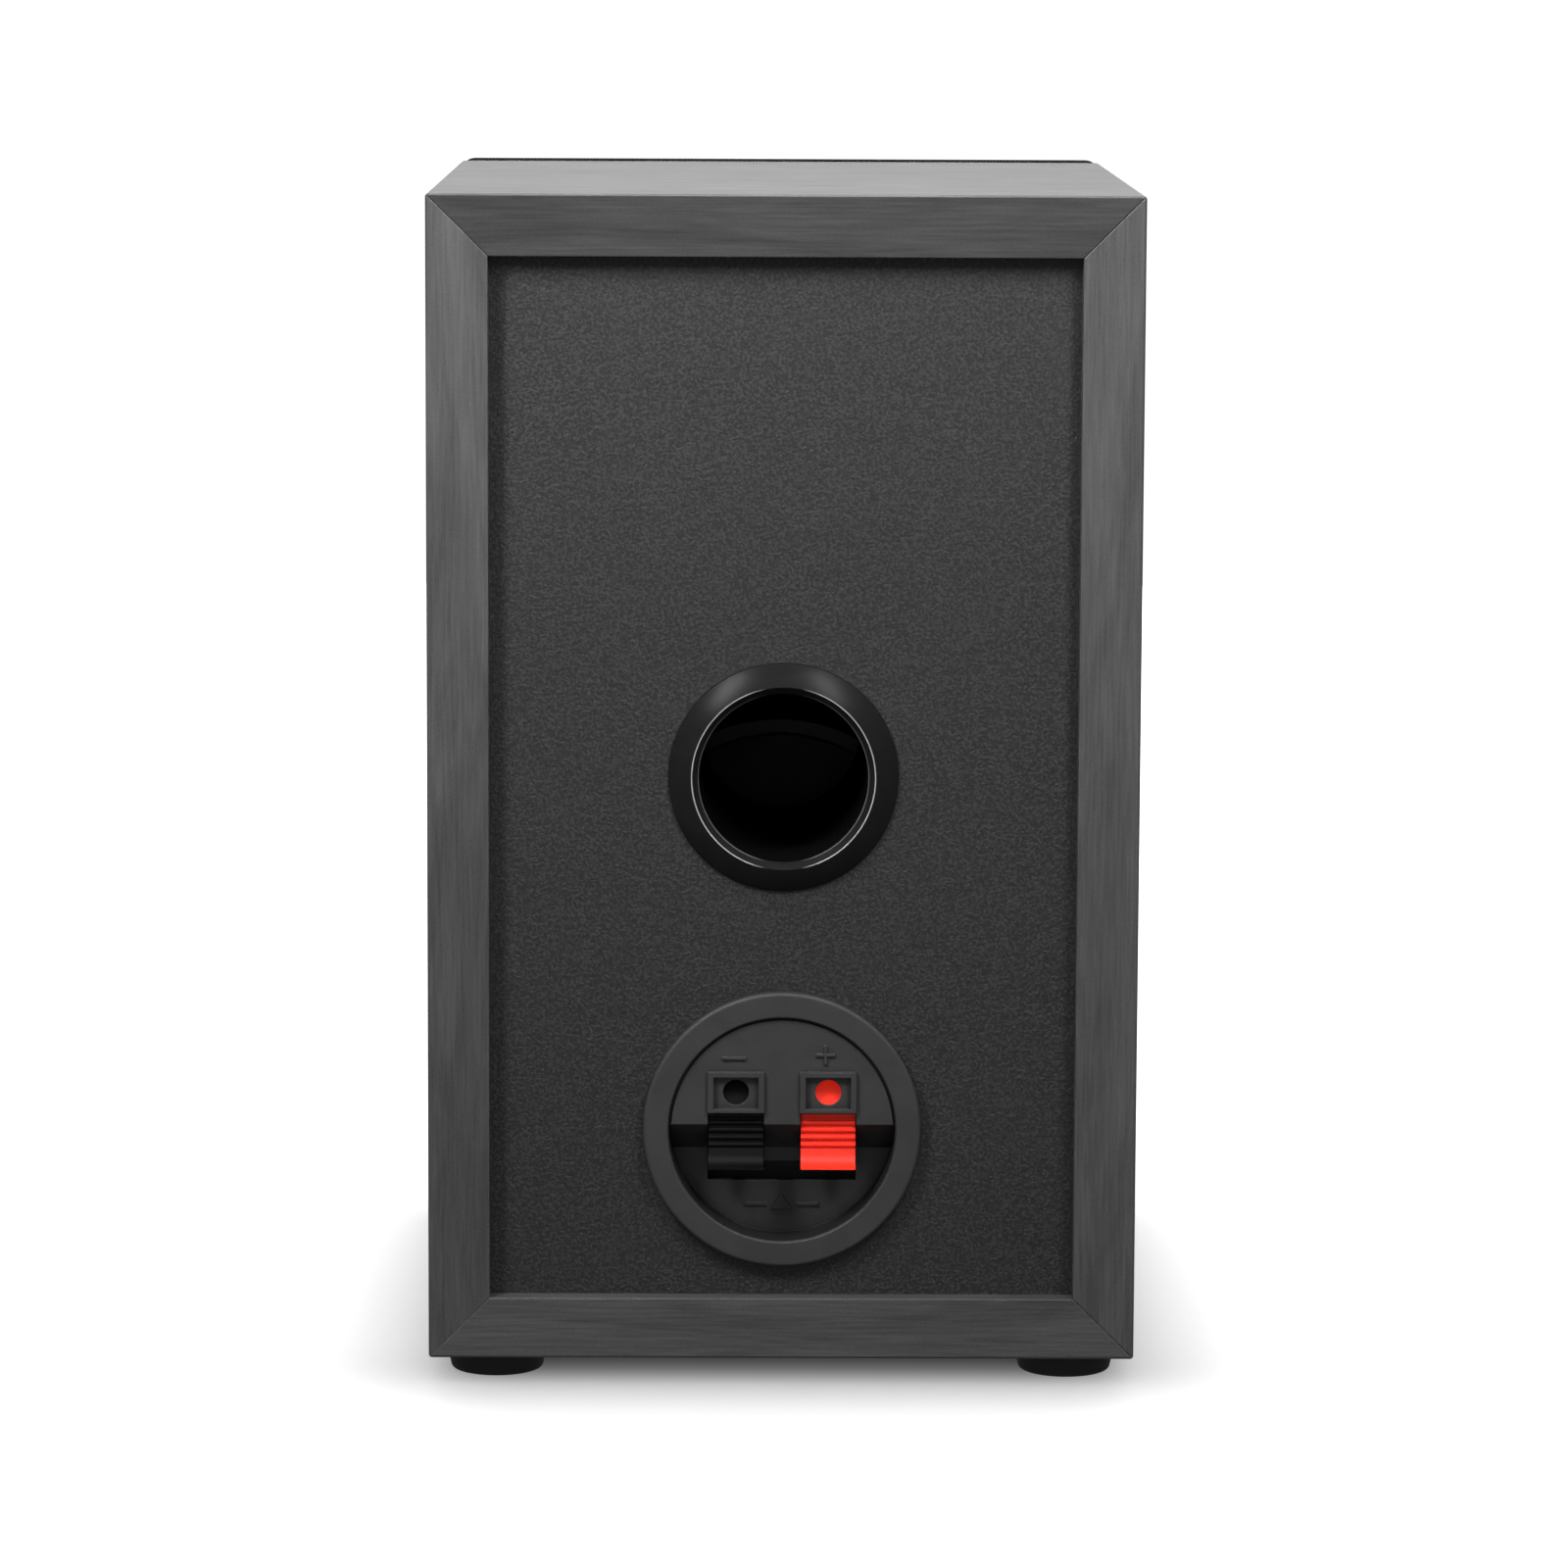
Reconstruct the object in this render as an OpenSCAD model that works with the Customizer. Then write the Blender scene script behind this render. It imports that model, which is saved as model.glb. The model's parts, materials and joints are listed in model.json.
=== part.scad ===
// Two-way bookshelf speaker. The baffle faces -Y, the terminals face +Y, and the feet stand on z = 0.

/* [Cabinet] */
// Outside width of the cabinet
cabinet_w = 147; // [140:0.5:160]
// Outside height of the cabinet, without feet
cabinet_h = 242; // [240:0.5:260]
// Depth of the cabinet boards, without the grille
cabinet_d = 172; // [168:0.5:190]
// Thickness of the mitred boards
board_t = 12.7; // [12:0.1:14]
// How deep the rear panel and the baffle are let into the boards
let_in = 4; // [2:0.5:6]
// Thickness of the rear panel
rear_panel_t = 12; // [10:0.5:13]
// How far the rear panel sits in from the rear rim
rear_recess = 5; // [4:0.5:8]
// Thickness of the front baffle
baffle_t = 15; // [14:0.5:17]
// Radius on the long edges of the cabinet
edge_r = 0.8; // [0.4:0.1:1.5]

/* [Feet] */
// Diameter of each rubber foot
foot_dia = 21.3; // [16:0.1:24]
// Height of each rubber foot
foot_h = 5; // [4:0.5:8]
// Distance of a foot's centre from the side of the cabinet
foot_side_inset = 13.8; // [12:0.1:20]
// Distance of a foot's centre from the front or rear of the cabinet
foot_end_inset = 14; // [12:0.1:30]

/* [Port] */
// Bore of the port tube
port_bore = 35; // [30:0.5:36]
// Length of the port tube behind its flange
port_len = 80; // [50:1:82]
// Height of the port's centre above the cabinet's underside
port_z = 121.8; // [118:0.1:130]
// Outside diameter of the port flange
port_flange_dia = 47.7; // [45:0.1:52]

/* [Terminal cup] */
// Outside diameter of the cup's ring
cup_ring_dia = 58; // [57:0.1:62]
// Height of the cup's centre above the cabinet's underside
cup_z = 47.9; // [45:0.1:52]
// Depth of the cup's body behind the ring face
cup_depth = 30; // [30:0.5:34]
// Depth of the lower pocket
pocket_depth = 9.7; // [9:0.1:10.5]
// Diameter of a wire hole
wire_hole_dia = 5.4; // [4:0.1:5.6]

/* [Levers] */
// Distance between the two levers' centres
lever_pitch = 19.2; // [18.8:0.1:19.4]
// Width of a lever
lever_w = 11.4; // [10.8:0.1:11.4]
// How far a lever turns when it is pressed, in degrees
lever_press = 9; // [5:1:9]

/* [Woofer] */
// Height of the woofer's centre above the cabinet's underside
woofer_z = 83; // [80:0.5:85]
// Outside diameter of the woofer's flange
woofer_dia = 108; // [108:0.5:112]
// Diameter of the magnet
woofer_magnet_dia = 72; // [66:1:76]

/* [Tweeter] */
// Height of the tweeter's centre above the cabinet's underside
tweeter_z = 185; // [182:0.5:195]
// Outside diameter of the tweeter's faceplate
tweeter_dia = 72; // [71:0.5:76]

/* [Grille] */
// Depth of the grille, cloth included
grille_d = 9; // [8.5:0.5:12]
// Thickness of the cloth
cloth_t = 0.4; // [0.3:0.1:0.6]
// Width of the frame's side members
grille_member = 12.5; // [10:0.5:13]

/* [Hidden] */
$fn = 64;

// Places along Y
total_d = cabinet_d + grille_d;
y_rear = total_d / 2;
y_front = y_rear - cabinet_d;
y_panel = y_rear - rear_recess;
y_panel_in = y_panel - rear_panel_t;
y_baffle_in = y_front + baffle_t;
y_cup = y_panel + 2.5;

// Places along X and Z
z0 = foot_h;
z1 = foot_h + cabinet_h;
middle_z = (z0 + z1) / 2;
half_w = cabinet_w / 2;
inner_half_w = half_w - board_t;
inner_z0 = z0 + board_t;
inner_z1 = z1 - board_t;
cup_height = z0 + cup_z;
port_height = z0 + port_z;
woofer_height = z0 + woofer_z;
tweeter_height = z0 + tweeter_z;

// Gap left between curved faces that don't touch
loose = 0.3;
// Running clearance on the radius of the axle and the pegs
running = 0.05;
// Glue line between two parts that are stuck together
glue = 0.01;

// Colours
black_wood = [0.16, 0.16, 0.16];
black_panel = [0.2, 0.2, 0.2];
black_plastic = [0.1, 0.1, 0.1];
red_plastic = [0.86, 0.09, 0.05];
mdf = [0.62, 0.5, 0.36];
steel = [0.72, 0.72, 0.74];
brass = [0.8, 0.64, 0.3];
ferrite = [0.22, 0.22, 0.23];
copper = [0.75, 0.4, 0.2];
foam = [0.14, 0.14, 0.15];
wadding = [0.85, 0.85, 0.82];

// ---------- Shared shapes ----------

// A box between two opposite corners
module block(low, high) {
    translate(low) cube(high - low);
}

// A solid cylinder along Y from y = a to y = b
module rod_y(r, a, b) {
    translate([0, a, 0]) rotate([-90, 0, 0]) cylinder(r = r, h = b - a);
}

// A ring along Y from y = a to y = b
module ring_y(r_out, r_in, a, b) {
    difference() {
        rod_y(r_out, a, b);
        rod_y(r_in, a - 1, b + 1);
    }
}

// Turns an outline of [radius, y] points about the Y axis
module turned_y(outline) {
    rotate([-90, 0, 0]) rotate_extrude() polygon(outline);
}

// Extrudes an outline of [y, z] points along X between two places
module along_x(outline, a, b) {
    translate([a, 0, 0]) rotate([90, 0, 90]) linear_extrude(b - a) polygon(outline);
}

// A rectangle centred on the origin with true round corners
module round_rect(w, h, r) {
    square([w - 2 * r, h], center = true);
    square([w, h - 2 * r], center = true);
    for (sx = [-1, 1], sy = [-1, 1])
        translate([sx * (w / 2 - r), sy * (h / 2 - r)]) circle(r);
}

// Extrudes a flat shape, drawn as seen from the front, along Y from y = a to y = b
module along_y(a, b) {
    translate([0, b, 0]) rotate([90, 0, 0]) linear_extrude(b - a) children();
}

// Points on an arc about a centre
function arc(centre, r, from, to, steps = 8) = [
    for (i = [0 : steps]) let (a = from + (to - from) * i / steps)
        centre + r * [cos(a), sin(a)]
];

// Puts children on the axis of a driver at a height
module at_height(z) {
    translate([0, 0, z]) children();
}

// Copies children to the corners of a square pattern on a circle of radius r, around Y
module four_around_y(r) {
    for (a = [45 : 90 : 315]) rotate([0, a, 0]) translate([r, 0, 0]) children();
}

// ---------- Wires ----------

// A point on the smooth curve through the points of a route
function on_curve(p0, p1, p2, p3, t) = 0.5 * (
    2 * p1 + (p2 - p0) * t
    + (2 * p0 - 5 * p1 + 4 * p2 - p3) * t * t
    + (3 * p1 - p0 - 3 * p2 + p3) * t * t * t
);

function smooth_route(route, steps) = let (last = len(route) - 1) [
    for (i = [0 : last - 1], k = [0 : steps - 1])
        on_curve(route[max(i - 1, 0)], route[i], route[i + 1], route[min(i + 2, last)], k / steps),
    route[last]
];

function unit(v) = v / norm(v);

// The direction of a path at one of its points
function heading(path, i) = unit(path[min(i + 1, len(path) - 1)] - path[max(i - 1, 0)]);

// A vector square to a direction, as near as possible to another vector
function squared(v, direction) = unit(v - (v * direction) * direction);

// A round wire along a route: one closed tube, with its side vector carried from ring to ring
module wire(route, dia) {
    sides = 8;
    path = smooth_route(route, 4);
    rings = len(path);
    side_vectors = [
        for (i = 0, v = squared([0.3, 0.5, 0.8], heading(path, 0));
             i < rings;
             i = i + 1, v = squared(v, heading(path, min(i, rings - 1)))) v
    ];
    points = [
        for (i = [0 : rings - 1], k = [0 : sides - 1])
            let (up = side_vectors[i], across = cross(heading(path, i), up), a = 360 * k / sides)
                path[i] + dia / 2 * (cos(a) * up + sin(a) * across)
    ];
    walls = [
        for (i = [0 : rings - 2], k = [0 : sides - 1]) let (n = (k + 1) % sides)
            [i * sides + k, (i + 1) * sides + k, (i + 1) * sides + n, i * sides + n]
    ];
    start_cap = [for (k = [0 : sides - 1]) k];
    end_cap = [for (k = [sides - 1 : -1 : 0]) (rings - 1) * sides + k];
    polyhedron(points, concat([start_cap], walls, [end_cap]));
}

// ---------- Cabinet ----------

// The cabinet's outside, with rounded long edges and a fine chamfer on the rims
module cabinet_envelope() {
    rim_chamfer = 0.4;
    intersection() {
        along_y(y_front, y_rear)
            translate([0, middle_z]) round_rect(cabinet_w, cabinet_h, edge_r);
        along_x(chamfered([y_front, z0], [y_rear, z1], rim_chamfer), -half_w, half_w);
        translate([0, 0, z0]) linear_extrude(cabinet_h)
            polygon(chamfered([-half_w, y_front], [half_w, y_rear], rim_chamfer));
    }
}

// A rectangle between two corners with its corners cut off
function chamfered(low, high, c) = [
    [low.x + c, low.y], [high.x - c, low.y], [high.x, low.y + c], [high.x, high.y - c],
    [high.x - c, high.y], [low.x + c, high.y], [low.x, high.y - c], [low.x, low.y + c]
];

// The rear panel's and the baffle's outer size, which the grooves in the boards take
panel_half_w = inner_half_w + let_in;
panel_z0 = inner_z0 - let_in;
panel_z1 = inner_z1 + let_in;

module panel_blank(a, b) {
    block([-panel_half_w, a, panel_z0], [panel_half_w, b, panel_z1]);
}

// Hairline V-grooves where the mitres show on the rear rim; the lower one at +X is closed tight
module mitre_grooves() {
    groove = 0.22;
    run = board_t * sqrt(2) + 2;
    for (corner = [[-1, 1], [1, 1], [-1, -1]])
        let (x = corner.x * (half_w - board_t / 2), z = middle_z + corner.y * (cabinet_h - board_t) / 2)
            translate([x, y_rear, z]) rotate([0, -45 * corner.x * corner.y, 0]) rotate([45, 0, 0])
                cube([run, groove, groove], center = true);
}

// One mitred board: the part of the cabinet's shell inside a wedge seen from the front
module board(wedge) {
    color(black_wood) difference() {
        intersection() {
            cabinet_envelope();
            along_y(y_front, y_rear) polygon(wedge);
        }
        panel_blank(y_front - 1, y_baffle_in);
        panel_blank(y_panel_in, y_panel);
        mitre_grooves();
    }
}

module cabinet_top() {
    board([[-half_w, z1], [half_w, z1], [inner_half_w, inner_z1], [-inner_half_w, inner_z1]]);
}

module cabinet_bottom() {
    board([[-half_w, z0], [half_w, z0], [inner_half_w, inner_z0], [-inner_half_w, inner_z0]]);
}

module side_board(side) {
    board([
        [side * half_w, z0], [side * half_w, z1],
        [side * inner_half_w, inner_z1], [side * inner_half_w, inner_z0]
    ]);
}

module cabinet_left() { side_board(-1); }
module cabinet_right() { side_board(1); }

// Screw patterns of the two drivers
woofer_screw_r = woofer_dia / 2 - 3.7;
tweeter_screw_r = tweeter_dia / 2 - 3.8;

// Grille peg places
peg_x = inner_half_w - 3.8;
peg_z = [z0 + 16, z1 - 16];
peg_r = 2.5;
socket_r = 4.5;
socket_flange_r = 6;
socket_depth = 10;

module at_pegs() {
    for (x = [-peg_x, peg_x], z = peg_z) translate([x, 0, z]) children();
}

// Depths of the two driver recesses in the baffle
woofer_recess = 3.5;
tweeter_recess = 3;
woofer_cutout_r = woofer_dia / 2 - 7.5;
tweeter_cutout_r = 28.5;

module front_baffle() {
    color(black_panel) difference() {
        panel_blank(y_front, y_baffle_in);
        at_height(woofer_height) {
            rod_y(woofer_cutout_r, y_front - 1, y_baffle_in + 1);
            rod_y(woofer_dia / 2 + loose, y_front - 1, y_front + woofer_recess);
            four_around_y(woofer_screw_r) rod_y(1.65, y_front, y_baffle_in - 2);
        }
        at_height(tweeter_height) {
            rod_y(tweeter_cutout_r, y_front - 1, y_baffle_in + 1);
            rod_y(tweeter_dia / 2 + loose, y_front - 1, y_front + tweeter_recess);
            four_around_y(tweeter_screw_r) rod_y(1.35, y_front, y_baffle_in - 2);
        }
        at_pegs() {
            rod_y(socket_flange_r + running, y_front - 1, y_front + 1);
            rod_y(socket_r + running, y_front - 1, y_front + socket_depth);
        }
    }
}

port_r = port_bore / 2;
port_wall = 2;
cup_body_r = 24.8;

module rear_panel() {
    color(black_panel) difference() {
        panel_blank(y_panel_in, y_panel);
        at_height(port_height) rod_y(port_r + port_wall + loose, y_panel_in - 1, y_panel + 1);
        at_height(cup_height) rod_y(cup_body_r + loose, y_panel_in - 1, y_panel + 1);
    }
}

// ---------- Port ----------

module port_tube() {
    rim_h = 0.75;
    crest_r = 0.15;
    dome_r = 25;
    dome_from = 66;
    dome_to = 54;
    rim_r = port_flange_dia / 2;
    dome_end = [rim_r - 0.25, y_panel + rim_h];
    dome_centre = dome_end - dome_r * [cos(dome_to), sin(dome_to)];
    crest = dome_centre + (dome_r - crest_r) * [cos(dome_from), sin(dome_from)];
    mouth = crest + crest_r * [cos(135), sin(135)];
    outline = concat(
        [[port_r, y_panel - port_len], [port_r, mouth.y - (mouth.x - port_r)]],
        arc(crest, crest_r, 135, dome_from, 3),
        arc(dome_centre, dome_r, dome_from, dome_to, 6),
        [
            [rim_r, dome_end.y - 0.25], [rim_r, y_panel],
            [port_r + port_wall, y_panel], [port_r + port_wall, y_panel - port_len]
        ]
    );
    color(black_plastic) at_height(port_height) turned_y(outline);
}

// ---------- Feet ----------

module foot(sx, sy) {
    r = foot_dia / 2;
    taper = 0.9;
    bottom_r = 1.2;
    y = sy < 0 ? y_front + foot_end_inset : y_rear - foot_end_inset;
    outline = concat(
        [[0, 0]],
        arc([r - taper - bottom_r, bottom_r], bottom_r, -90, 0, 6),
        [[r, foot_h], [0, foot_h]]
    );
    color(black_plastic) translate([sx * (half_w - foot_side_inset), y, 0])
        rotate_extrude() polygon(outline);
}

module foot_front_left() { foot(-1, -1); }
module foot_front_right() { foot(1, -1); }
module foot_rear_left() { foot(-1, 1); }
module foot_rear_right() { foot(1, 1); }

// ---------- Terminal cup ----------
// Local frame: y = 0 on the ring's face, z = 0 at the cup's centre.

module at_cup() {
    translate([0, y_cup, cup_height]) children();
}

ring_r = cup_ring_dia / 2;
pocket_r = 23.5;
cavity_r = 23.3;
plate_y = -0.8;
slope_top_z = 1.1;
slope_bottom_z = -5.4;
floor_back_y = -pocket_depth - 1.5;
lever_x = lever_pitch / 2;

// Collar round each wire hole
collar_w = 11.7;
collar_z = [3.6, 12.2];
collar_hole_w = 9.4;
collar_hole_z = [4.4, 11.1];
collar_floor_y = -1.2;
collar_back_y = -2;
collar_lip_back_y = -1.5;
collar_lip_top_z = 4.9;
plate_back_y = -2.6;
wire_hole_z = 7.8;

// Slots that the levers come through
slot_z = [-12.4, collar_z[0]];
slot_half_w = 15.5;
slot_middle_top_z = -8.3;

// The axle that both levers turn on
axle_y = -24;
axle_z = -0.9;
axle_r = 1;

// Solid behind the upper plate and the slope
module upper_block() {
    along_x([
        [plate_y, 40], [plate_y, slope_top_z], [-pocket_depth, slope_bottom_z],
        [-pocket_depth - 1, slope_bottom_z], [-pocket_depth - 1, 40]
    ], -30, 30);
}

// Cavity that holds the levers, behind the floor, the slope and the upper plate
module cup_cavity() {
    slope_run = plate_y + pocket_depth;
    slope_rise = slope_top_z - slope_bottom_z;
    slope_len = norm([slope_run, slope_rise]);
    wall = 1.6;
    shift = wall / slope_len * [-slope_rise, slope_run];
    slope_rate = slope_rise / slope_run;
    start = [plate_y, slope_top_z] + shift;
    top_z = start.y + (plate_back_y - start.x) * slope_rate;
    bottom_z = start.y + (floor_back_y - start.x) * slope_rate;
    intersection() {
        rod_y(cavity_r, -cup_depth - 1, 0);
        along_x([
            [-cup_depth - 1, -40], [-cup_depth - 1, 40], [plate_back_y, 40],
            [plate_back_y, top_z], [floor_back_y, bottom_z], [floor_back_y, -40]
        ], -30, 30);
    }
}

// Raised collar round a wire hole
module collar(side) {
    half = collar_w / 2;
    translate([side * lever_x, 0, 0])
        block([-half, collar_back_y, collar_z[0]], [half, 0, collar_z[1]]);
}

// What is cut away in and behind a collar: its sinking, the wire hole, and room for the lever's gate
module collar_sinking(side) {
    sinking_half = collar_hole_w / 2;
    gate_half = collar_w / 2;
    gate_z = [collar_z[0] - 1, collar_z[1] - 0.6];
    translate([side * lever_x, 0, 0]) {
        block([-sinking_half, collar_floor_y, collar_hole_z[0]], [sinking_half, 1, collar_hole_z[1]]);
        translate([0, 0, wire_hole_z]) rod_y(wire_hole_dia / 2, collar_back_y - 1, 1);
        block([-gate_half, plate_back_y - 1, gate_z[0]], [gate_half, collar_back_y, gate_z[1]]);
        block([-gate_half, collar_back_y - 1, gate_z[0]], [gate_half, collar_lip_back_y, collar_lip_top_z]);
    }
}

// Ribs that hold the axle
module axle_ribs() {
    for (side = [-1, 1], x = [2, 15.75])
        let (a = side * x, b = side * (x + 1.5))
            block(
                [min(a, b), axle_y - 3.8, slot_middle_top_z],
                [max(a, b), floor_back_y + 0.05, axle_z + 6]
            );
}

// Raised plus, minus and arrow marks
module cup_marks() {
    raised = 0.4;
    sign_top = plate_y + raised;
    stroke = 0.6;
    floor_top = -pocket_depth + raised;
    block([-9 - 2, plate_y - 0.5, 15.8 - stroke / 2], [-9 + 2, sign_top, 15.8 + stroke / 2]);
    block([-9 - stroke / 2, plate_y - 0.5, 15.8 - 2], [-9 + stroke / 2, sign_top, 15.8 + 2]);
    block([10 - 2.5, plate_y - 0.5, 15.1 - stroke / 2], [10 + 2.5, sign_top, 15.1 + stroke / 2]);
    for (side = [-1, 1])
        block(
            [side * 5.4 - 2.3, -pocket_depth - 0.5, -17.8],
            [side * 5.4 + 2.3, floor_top, -17.1]
        );
    along_y(-pocket_depth - 0.5, floor_top)
        polygon([[-2.2, -18.6], [2.2, -18.6], [0, -15.4]]);
}

// Ring with a rounded outer edge, and the cup's outer body
module cup_blank() {
    edge = 0.8;
    gasket_seat = 1;
    outline = concat(
        [
            [0, -cup_depth], [cup_body_r, -cup_depth], [cup_body_r, -2.5 + gasket_seat],
            [ring_r - 0.7, -2.5 + gasket_seat], [ring_r - 0.7, -2.5], [ring_r, -2.5]
        ],
        arc([ring_r - edge, -edge], edge, 0, 90, 6),
        [[pocket_r + 0.4, 0], [pocket_r, -0.4], [0, -0.4]]
    );
    turned_y(outline);
}

module terminal_cup() {
    groove_depth = 1.8;
    color(black_panel) at_cup() {
        difference() {
            union() {
                difference() {
                    cup_blank();
                    difference() {
                        rod_y(pocket_r, -pocket_depth, 1);
                        upper_block();
                    }
                    cup_cavity();
                    // Fine groove between the upper plate and the ring
                    intersection() {
                        ring_y(pocket_r, pocket_r - 0.4, -groove_depth, 1);
                        block([-30, -3, slope_top_z], [30, 2, 30]);
                    }
                }
                for (side = [-1, 1]) collar(side);
                axle_ribs();
                cup_marks();
            }
            for (side = [-1, 1]) {
                collar_sinking(side);
                block(
                    [side * lever_x - collar_w / 2, floor_back_y, slot_z[0]],
                    [side * lever_x + collar_w / 2, 3, slot_z[1]]
                );
            }
            block(
                [-slot_half_w, floor_back_y, slot_z[0]],
                [slot_half_w, -pocket_depth + 1, slot_middle_top_z]
            );
            translate([0, axle_y, axle_z]) rotate([0, 90, 0])
                cylinder(r = axle_r + running, h = 60, center = true);
        }
    }
}

module terminal_gasket() {
    color(foam) at_cup() ring_y(ring_r - 0.9, cup_body_r + 0.6, -2.5, -1.5);
}

// Contact strips run back through slots in the back plate
strip_w = 6;
strip_z = [axle_z + 12, axle_z + 12.8];

module terminal_back_plate() {
    plate_t = 2;
    color(black_plastic) at_cup() difference() {
        rod_y(cavity_r - loose, -cup_depth, -cup_depth + plate_t);
        for (side = [-1, 1])
            block(
                [side * lever_x - strip_w / 2, -cup_depth - 1, strip_z[0]],
                [side * lever_x + strip_w / 2, -cup_depth + plate_t + 1, strip_z[1]]
            );
    }
}

module contact_strips() {
    tab_end_y = axle_y - 14;
    tip_y = axle_y + 16.5;
    color(brass) at_cup() for (side = [-1, 1])
        block(
            [side * lever_x - strip_w / 2, tab_end_y, strip_z[0]],
            [side * lever_x + strip_w / 2, tip_y, strip_z[1]]
        );
}

module lever_axle() {
    color(steel) at_cup() translate([0, axle_y, axle_z]) rotate([0, 90, 0])
        cylinder(r = axle_r, h = 35, center = true);
}

// Side outline of a lever, with the axle at [0, 0], y outwards and z upwards
face_y = 22;
lever_top_z = 4.4;
ridge_r = 0.62;
ridge_pitch = 1.56;
ridges = 5;

// Rounded ridges down the face, for the finger
function ridge_outline() = [
    for (i = [ridges - 1 : -1 : 0], a = [-80 : 40 : 80])
        [face_y - 0.2, lever_top_z - 0.03 - ridge_r - i * ridge_pitch] + ridge_r * [cos(a), sin(a)]
];

function lever_outline() = let (
    gate_r = [21.2, 22.4],
    gate_top = 33,
    scoop_centre = [25.8, -3.3],
    scoop_r = 3.8
) concat(
    [[0, -3.2], [18.8, -4.6], [21, -6.2], [24.8, -7.3]],
    arc(scoop_centre, scoop_r, 264, 184, 8),
    ridge_outline(),
    [[face_y - 0.6, lever_top_z]],
    arc([0, 0], gate_r[1], asin(lever_top_z / gate_r[1]), gate_top),
    arc([0, 0], gate_r[0], gate_top, 9.5),
    [[8, 2.4], [0, 3.2]]
);

module lever(side) {
    hub_r = 3.2;
    translate([side * lever_x, y_cup + axle_y, cup_height + axle_z]) difference() {
        union() {
            along_x(lever_outline(), -lever_w / 2, lever_w / 2);
            rotate([0, 90, 0]) cylinder(r = hub_r, h = lever_w, center = true);
        }
        rotate([0, 90, 0]) cylinder(r = axle_r + running, h = lever_w + 1, center = true);
    }
}

module push_lever_black() { color(black_plastic) lever(1); }
module push_lever_red() { color(red_plastic) lever(-1); }

// Leaf spring from the back plate up to the underside of a lever
module lever_spring(side) {
    t = 0.35;
    color(steel) translate([side * lever_x, y_cup + axle_y, cup_height + axle_z])
        along_x([
            [-4, -8.2], [4, -8.2], [9.2, -6.6], [10.6, -4.2], [10.6 + t, -4.3],
            [9.4, -6.6 - t], [4, -8.2 - t], [-4, -8.2 - t]
        ], -3, 3);
}

module lever_spring_black() { lever_spring(1); }
module lever_spring_red() { lever_spring(-1); }

// ---------- Crossover ----------

board_low = [-35, -10];
board_high = [35, 45];
standoff_h = 6;
board_z = inner_z0 + standoff_h;
board_top_z = board_z + 1.6;

module at_board_holes() {
    for (x = [-31, 31], y = [-6, 41]) translate([x, y, 0]) children();
}

module crossover_board() {
    color([0.1, 0.3, 0.16]) difference() {
        block([board_low.x, board_low.y, board_z], [board_high.x, board_high.y, board_top_z]);
        at_board_holes() translate([0, 0, board_z - 1]) cylinder(r = 1.6, h = 4);
    }
}

module crossover_standoffs() {
    color(black_plastic) at_board_holes() translate([0, 0, inner_z0]) difference() {
        cylinder(r = 3.5, h = standoff_h);
        translate([0, 0, 1]) cylinder(r = 1.35, h = standoff_h);
    }
}

module crossover_screws() {
    color(steel) at_board_holes() {
        translate([0, 0, board_top_z]) cylinder(r = 2.8, h = 1.8);
        translate([0, 0, board_top_z - 6]) cylinder(r = 1.3, h = 7);
    }
}

// Coil wound on a flanged bobbin, with an iron core through it
module inductor(x, y, r, h) {
    flange_t = 1.2;
    translate([x, y, board_top_z]) {
        cylinder(r = r, h = flange_t);
        translate([0, 0, flange_t]) cylinder(r = r - 1.2, h = h - 2 * flange_t);
        translate([0, 0, h - flange_t]) cylinder(r = r, h = flange_t);
        translate([0, 0, h]) cylinder(r = r * 0.35, h = 1.5);
    }
}

module woofer_inductor() { color(copper) inductor(-16, 8, 14, 16); }
module tweeter_inductor() { color(copper) inductor(19, 0, 9, 12); }

module crossover_capacitor() {
    r = 6;
    color([0.75, 0.62, 0.2]) translate([3, 22, board_top_z + r]) rotate([0, 90, 0]) cylinder(r = r, h = 26);
}

module crossover_resistor() {
    color([0.9, 0.9, 0.86]) block([-31, 25.5, board_top_z], [-9, 34.5, board_top_z + 9]);
}

// ---------- Internal wires ----------

wire_dia = 2.2;

module input_wires() {
    tab_y = y_cup + axle_y - 14.3;
    tab_z = cup_height + axle_z + 12.4;
    for (side = [-1, 1])
        color(side > 0 ? black_plastic : red_plastic) wire([
            [side * lever_x, tab_y, tab_z], [side * lever_x, 45, tab_z - 2], [side * 10, 40, 54],
            [side * 12, 38, 44], [side * 13, 38, 34], [side * 13, 38, board_top_z + 0.8]
        ], wire_dia);
}

module woofer_wires() {
    for (n = [0, 1])
        color(n ? red_plastic : black_plastic) wire([
            [n * 5 - 4, -7, board_top_z + 0.8], [n * 5 - 4, -10, 31], [n * 4 + 6, -20, 36 - n * 2],
            [n * 4 + 28, -30, 44 - n * 3], [n * 3 + 42, -42, 60 - n * 2],
            [n * 4 + 45, -48, woofer_height - 14], [n * 4 + 43, -52 + n * 2, woofer_height - 6 + n * 6],
            [39, y_front + 28.2, woofer_height - 3 + n * 6]
        ], wire_dia);
}

module tweeter_wires() {
    for (n = [0, 1])
        color(n ? red_plastic : black_plastic) wire([
            [33, n * 5 + 10, board_top_z + 0.8], [36, n * 5 + 6, 32], [46, n * 5 + 1, 46],
            [52, n * 5 - 10, 80], [52, n * 5 - 16, 130], [46, n * 5 - 22, 162],
            [30, n * 6 - 40, tweeter_height - 10], [11 - n * 9, n * 6 - 54, tweeter_height - 2],
            [5 - n * 10, y_front + 21.2, tweeter_height]
        ], wire_dia);
}

// ---------- Woofer ----------

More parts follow.
